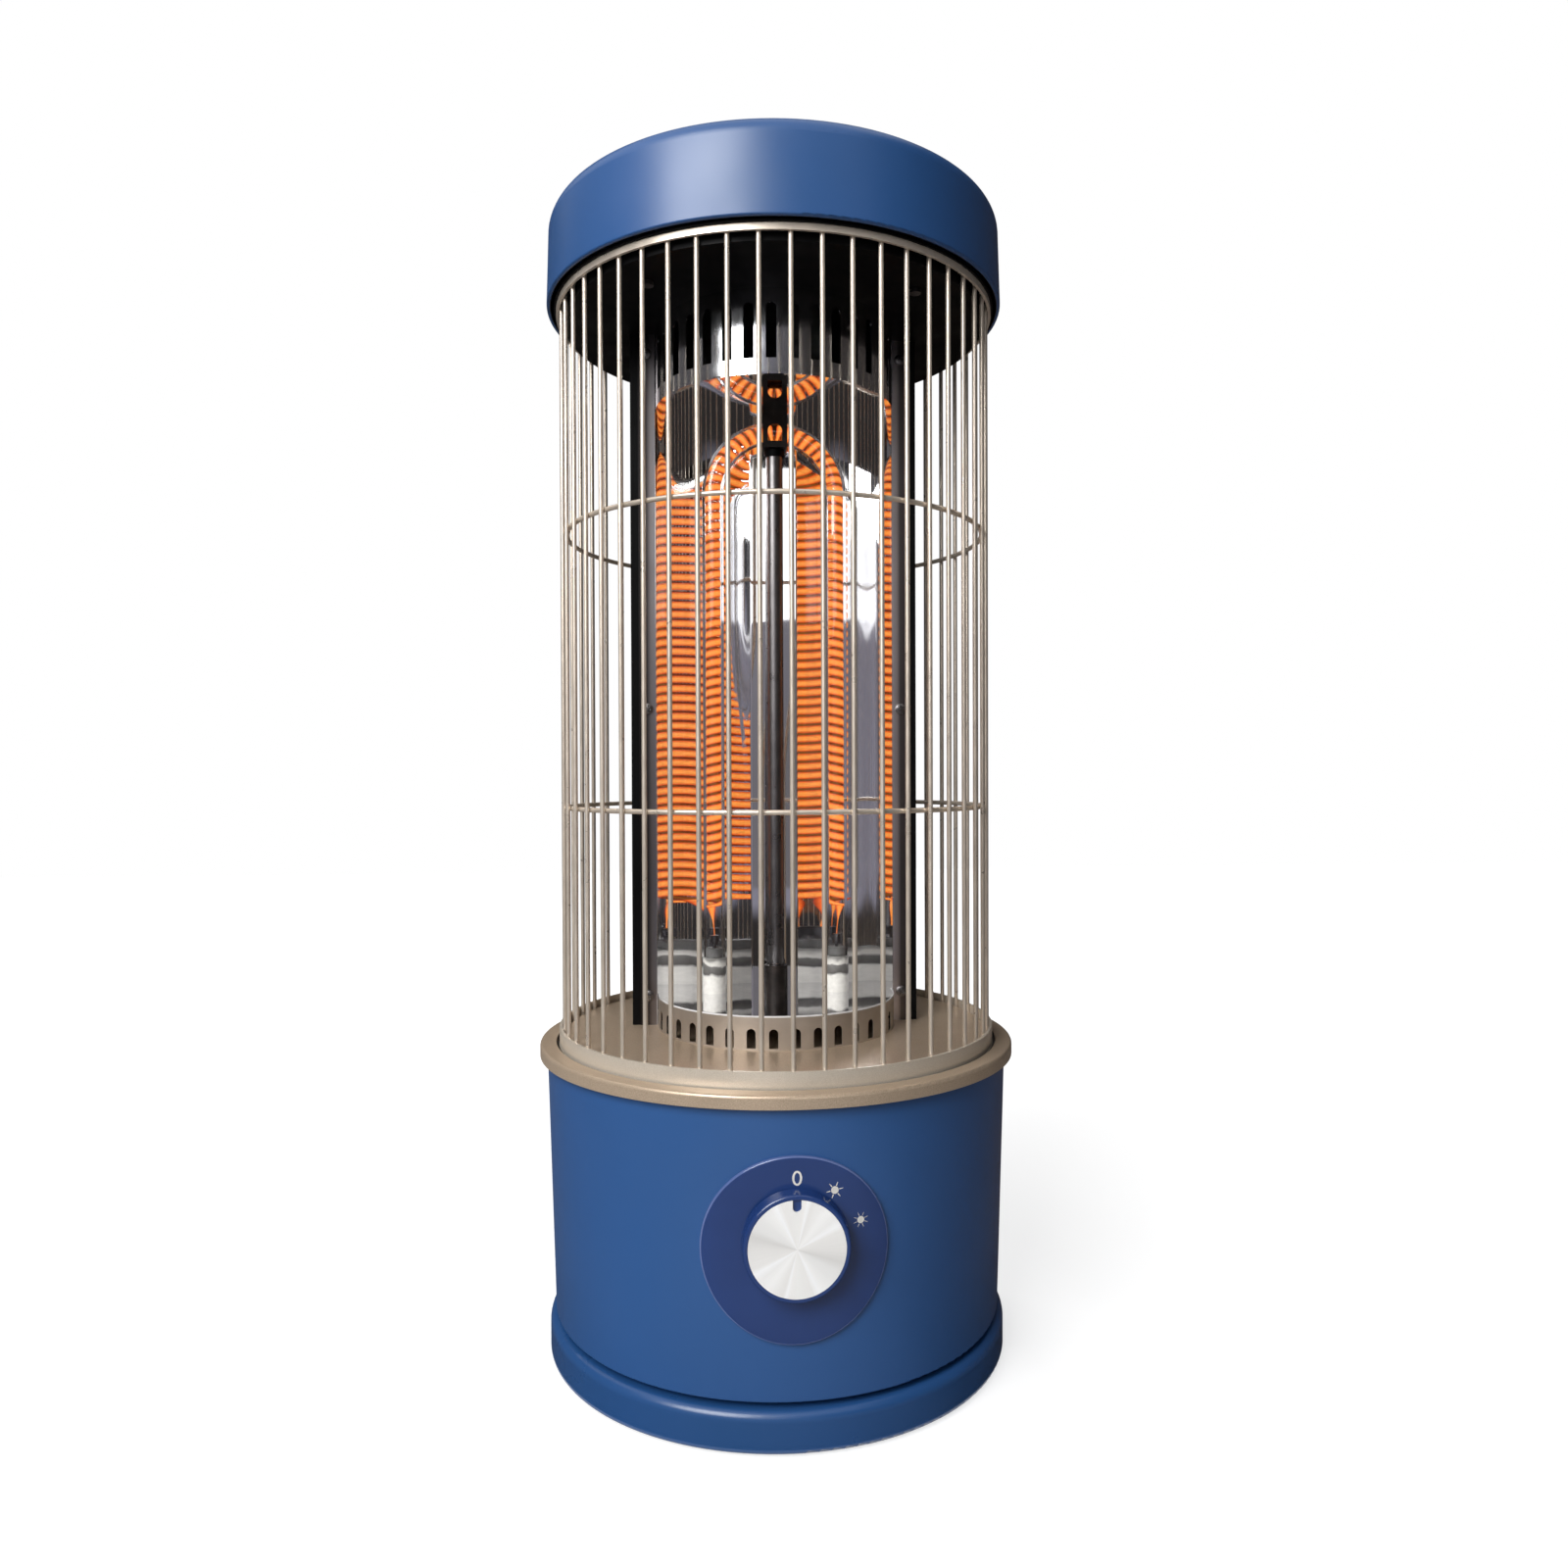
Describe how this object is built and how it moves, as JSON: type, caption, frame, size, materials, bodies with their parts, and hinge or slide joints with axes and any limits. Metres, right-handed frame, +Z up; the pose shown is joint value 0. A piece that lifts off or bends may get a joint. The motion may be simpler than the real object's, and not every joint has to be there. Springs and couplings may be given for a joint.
{
  "type": "carbon heater",
  "caption": "Free-standing round carbon heater: U-shaped quartz lamp before a two-trough mirror inside a wire guard, on a drum base with a rotary dial, under a drum-shaped cap.",
  "frame": {"origin": "on the floor under the middle of the heater, on the drum's axis", "axes": "+Z up along the drum's axis, -Y towards the dial and the open side of the mirror"},
  "size_m": [0.26, 0.2642, 0.6108],
  "materials": {
    "blue_shell": "glossy blue paint",
    "champagne_tray": "satin champagne metallic paint",
    "guard_paint": "beige enamel on steel wire",
    "mirror_sheet": "polished mirror",
    "collar_paint": "satin beige paint",
    "chrome_collar": "polished chrome",
    "black_sheet": "heat-proof black paint",
    "quartz": "clear fused quartz",
    "carbon": "carbon fibre, glowing orange in use",
    "ceramic": "unglazed white",
    "steel": "bright plated",
    "dark_steel": "heat-browned steel",
    "navy_plastic": "glossy navy",
    "spun_aluminium": "radially spun",
    "black_plastic": "fine matt texture",
    "switch_plastic": "ivory moulding",
    "rubber": "soft matt",
    "cable_jacket": "glass-sleeved cable"
  },
  "bodies": {
    "heater": {"foot_ring": "blue_shell", "base_drum": "blue_shell", "top_cap": "blue_shell", "bottom_cover": "black_plastic", "rubber_feet": "rubber", "cover_screws": "steel", "drum_screws": "steel", "tray_screws": "steel", "cap_screws": "steel", "reflector_screws": "steel", "switch_screws": "steel", "base_tray": "champagne_tray", "guard_wires": "guard_paint", "lower_guard_hoop": "guard_paint", "upper_guard_hoop": "guard_paint", "guard_bottom_band": "champagne_tray", "guard_top_ring": "guard_paint", "ceiling_plate": "black_sheet", "upper_collar": "chrome_collar", "upper_mirror_disc": "mirror_sheet", "lower_collar": "collar_paint", "lower_mirror_disc": "mirror_sheet", "reflector": "mirror_sheet", "rear_shield": "black_sheet", "quartz_tube": "quartz", "carbon_filament": "carbon", "filament_leads": "steel", "left_ceramic_end": "ceramic", "right_ceramic_end": "ceramic", "lead_bushes": "ceramic", "support_post": "steel", "post_collar": "black_sheet", "post_base": "dark_steel", "crown_clip": "dark_steel", "dial_plate": "navy_plastic", "rotary_switch": "switch_plastic", "tip_switch": "switch_plastic", "tip_spring": "steel", "terminal_block": "switch_plastic", "thermal_cutoff": "black_plastic", "half_heat_diode": "black_plastic", "inner_wiring": "cable_jacket", "cord_gland": "black_plastic"},
    "dial": {"knob_body": "navy_plastic", "knob_face": "spun_aluminium", "knob_spindle": "steel"},
    "plunger": {"tip_plunger": "black_plastic"}
  },
  "joints": [
    {"name": "dial_turn", "type": "hinge", "parent": "heater", "child": "dial", "pos_m": [0, -0.13, 0.0992], "axis": [0, 1, 0], "range_deg": [0, 65]},
    {"name": "tip_slide", "type": "slide", "parent": "heater", "child": "plunger", "axis": [0, 0, -1], "range_m": [0, 0.006], "deforming": ["tip_spring"]}
  ]
}
